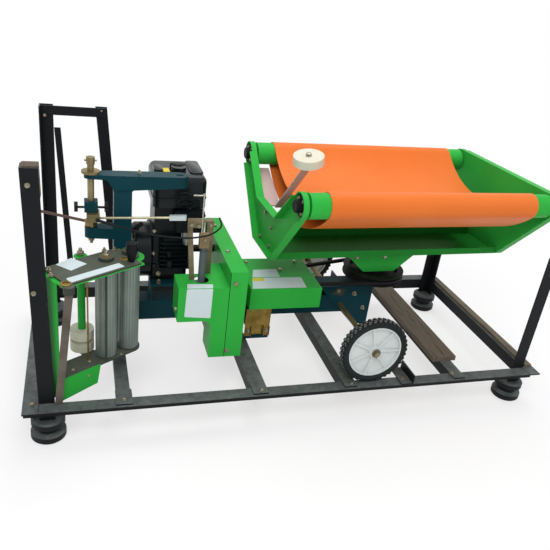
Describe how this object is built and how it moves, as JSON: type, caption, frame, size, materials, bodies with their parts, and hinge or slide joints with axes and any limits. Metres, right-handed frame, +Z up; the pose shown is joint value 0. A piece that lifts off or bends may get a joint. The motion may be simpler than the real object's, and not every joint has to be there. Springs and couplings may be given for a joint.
{
  "type": "bale wrapper",
  "caption": "Stationary wrapper for small round bales: a turntable with a banded roller cradle, film reel and stretch rollers, an engine and transport wheels on an angle-iron skid.",
  "frame": {"origin": "on the floor, under the middle of the skid", "axes": "+X along the skid from the film unit to the table, +Y across it from the near rail to the far rail, +Z up"},
  "size_m": [1.98, 0.9, 0.9576],
  "materials": {
    "black_steel": "semi-gloss, greyer on worn top faces",
    "brown_wood": "rough",
    "tan_wood": "rough",
    "teal_paint": "semi-gloss",
    "zinc_steel": "yellow passivated",
    "brass_block": "satin",
    "grey_steel": "satin",
    "black_rubber": "matt",
    "green_paint": "powder coat",
    "grey_plate": "satin",
    "black_plastic": "matt",
    "bare_aluminium": "drawn",
    "white_nylon": "satin",
    "black_engine": "satin",
    "muffler_steel": "perforated guard",
    "black_tyre": "matt",
    "white_plastic": "satin",
    "cast_pulley": "painted black",
    "orange_band": "satin",
    "pink_steel": "primer"
  },
  "bodies": {
    "machine": {"air_cleaner": "black_engine", "axle": "zinc_steel", "beam_bracket": "zinc_steel", "belt_cover": "green_paint", "column": "teal_paint", "column_arm": "teal_paint", "control_cable": "black_rubber", "cutter_shaft": "zinc_steel", "damper": "grey_steel", "drive_belt": "black_rubber", "drive_guard": "green_paint", "engine_block": "black_engine", "engine_mount": "teal_paint", "engine_muffler": "muffler_steel", "engine_starter": "black_engine", "engine_tank": "black_engine", "film_bottom_plate": "green_paint", "film_green_sheet": "green_paint", "film_grip": "black_plastic", "film_strut": "black_steel", "film_top_plate": "grey_plate", "gear_cover": "green_paint", "gearbox": "grey_steel", "lever_bracket": "zinc_steel", "link_rod": "zinc_steel", "main_beam": "teal_paint", "pedestal": "teal_paint", "shaft_clamp": "teal_paint", "skid_batten": "tan_wood", "skid_board": "brown_wood", "skid_braces": "black_steel", "skid_chocks": "black_steel", "skid_cross_bars": "black_steel", "skid_feet": "black_steel", "skid_posts": "black_steel", "skid_rails_end": "black_steel", "skid_rails_long": "black_steel", "skid_wood_stub": "brown_wood"},
    "turntable": {"turntable_pulley": "cast_pulley", "turntable_bracket": "green_paint", "table_trough": "green_paint", "table_plate_left": "green_paint", "table_plate_right": "green_paint", "table_bearings": "cast_pulley", "table_band": "orange_band", "guide_arm": "pink_steel"},
    "front_roller": {"table_roller_front": "green_paint"},
    "rear_roller": {"table_roller_rear": "green_paint"},
    "guide_roller": {"guide_wheel": "white_nylon"},
    "near_wheel": {"wheel_tyre_near": "black_tyre", "wheel_rim_near": "white_plastic"},
    "far_wheel": {"wheel_tyre_far": "black_tyre", "wheel_rim_far": "white_plastic"},
    "stretch_roller_a": {"film_roller_a": "bare_aluminium"},
    "stretch_roller_b": {"film_roller_b": "bare_aluminium"},
    "film_reel": {"film_reel_rod": "green_paint", "film_reel_cones": "white_nylon"},
    "cutter": {"cutter_arm": "brass_block"},
    "small_pulley": {"drive_pulley": "cast_pulley"}
  },
  "joints": [
    {"name": "turntable_spin", "type": "hinge", "parent": "machine", "child": "turntable", "pos_m": [0.38, 0, 0.43], "axis": [0, 0, 1], "continuous": true},
    {"name": "front_roller_spin", "type": "hinge", "parent": "turntable", "child": "front_roller", "pos_m": [0.40458, -0.3018, 0.817], "axis": [0.9993, 0.0366, 0], "continuous": true},
    {"name": "rear_roller_spin", "type": "hinge", "parent": "turntable", "child": "rear_roller", "pos_m": [0.38241, 0.30279, 0.817], "axis": [0.9993, 0.0366, 0], "continuous": true},
    {"name": "guide_roller_spin", "type": "hinge", "parent": "turntable", "child": "guide_roller", "pos_m": [-0.04349, -0.16868, 0.92948], "axis": [-0.1634, -0.1584, 0.9738], "continuous": true},
    {"name": "near_wheel_spin", "type": "hinge", "parent": "machine", "child": "near_wheel", "pos_m": [0.234, -0.3975, 0.2813], "axis": [0, 1, 0], "continuous": true},
    {"name": "far_wheel_spin", "type": "hinge", "parent": "machine", "child": "far_wheel", "pos_m": [0.234, 0.3975, 0.2813], "axis": [0, 1, 0], "continuous": true},
    {"name": "stretch_roller_a_spin", "type": "hinge", "parent": "machine", "child": "stretch_roller_a", "pos_m": [-0.72157, -0.25266, 0.4], "axis": [0, 0, 1], "continuous": true},
    {"name": "stretch_roller_b_spin", "type": "hinge", "parent": "machine", "child": "stretch_roller_b", "pos_m": [-0.6444, -0.20443, 0.4], "axis": [0, 0, 1], "continuous": true},
    {"name": "film_reel_spin", "type": "hinge", "parent": "machine", "child": "film_reel", "pos_m": [-0.80096, -0.20675, 0.4], "axis": [0, 0, 1], "continuous": true},
    {"name": "cutter_swing", "type": "hinge", "parent": "machine", "child": "cutter", "pos_m": [-0.7635, -0.07, 0.654], "axis": [0, 0, 1], "range_deg": [-40, 60]},
    {"name": "small_pulley_spin", "type": "hinge", "parent": "machine", "child": "small_pulley", "pos_m": [-0.12, 0, 0.38], "axis": [0, 0, 1], "continuous": true}
  ],
  "couplings": [
    {"joint": "rear_roller_spin", "follows": "front_roller_spin", "ratio": 1},
    {"joint": "small_pulley_spin", "follows": "turntable_spin", "ratio": 2.35}
  ]
}
